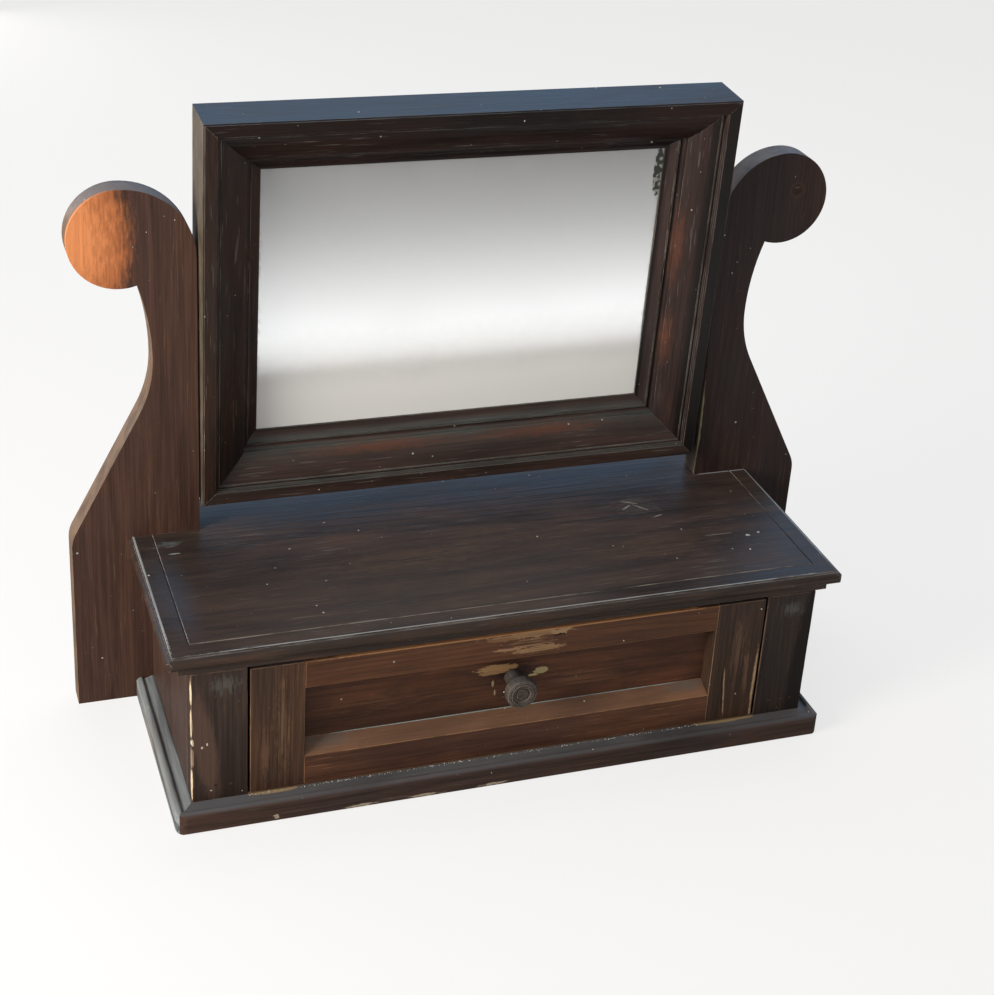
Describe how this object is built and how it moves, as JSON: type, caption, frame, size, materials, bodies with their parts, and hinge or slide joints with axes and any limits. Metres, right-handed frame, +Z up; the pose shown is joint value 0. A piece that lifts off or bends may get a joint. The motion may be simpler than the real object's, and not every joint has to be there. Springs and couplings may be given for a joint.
{
  "type": "vanity mirror with drawer",
  "caption": "Tabletop vanity mirror: a moulded frame tilts between scroll-cut uprights above a low box with a panelled drawer and round knob.",
  "frame": {"origin": "centre of the footprint at the foot of the box and uprights", "axes": "+X to the right along the width, +Y from the drawer's front to the back, +Z up"},
  "size_m": [0.586, 0.2218, 0.4652],
  "materials": {
    "stained_pine": "dark stained and waxed, worn edges",
    "raw_pine": "bare sawn softwood",
    "knob_wood": "turned, weathered grey-brown",
    "pin_wood": "turned hardwood dowel",
    "looking_glass": "silvered plate, slightly clouded",
    "steel": "dulled iron"
  },
  "bodies": {
    "stand": {"upright_right": "stained_pine", "upright_left": "stained_pine", "upright_screws": "steel", "top_board": "stained_pine", "side_panel_right": "stained_pine", "side_panel_left": "stained_pine", "bottom_board": "raw_pine", "plinth_front": "stained_pine", "plinth_right": "stained_pine", "plinth_left": "stained_pine", "pilaster_right": "stained_pine", "pilaster_left": "stained_pine", "back_panel": "stained_pine", "rear_cheek_right": "raw_pine", "rear_cheek_left": "raw_pine", "drawer_guide_right": "raw_pine", "drawer_guide_left": "raw_pine", "drawer_kicker_right": "raw_pine", "drawer_kicker_left": "raw_pine", "drawer_stops": "raw_pine", "glue_blocks": "raw_pine", "pilaster_nails": "steel"},
    "drawer": {"drawer_stile_right": "stained_pine", "drawer_stile_left": "stained_pine", "drawer_rail_bottom": "stained_pine", "drawer_rail_top": "stained_pine", "drawer_panel": "stained_pine", "drawer_knob": "knob_wood", "drawer_side_right": "raw_pine", "drawer_side_left": "raw_pine", "drawer_back": "raw_pine", "drawer_bottom": "raw_pine"},
    "mirror": {"frame_top": "stained_pine", "frame_bottom": "stained_pine", "frame_right": "stained_pine", "frame_left": "stained_pine", "mirror_glass": "looking_glass", "mirror_backing": "raw_pine", "backing_nails": "steel", "pivot_pin_right": "pin_wood", "pivot_pin_left": "pin_wood"}
  },
  "joints": [
    {"name": "drawer_slide", "type": "slide", "parent": "stand", "child": "drawer", "axis": [0, -1, 0], "range_m": [0, 0.14]},
    {"name": "mirror_tilt", "type": "hinge", "parent": "stand", "child": "mirror", "pos_m": [0, 0.0744, 0.3147], "axis": [1, 0, 0], "continuous": true}
  ]
}
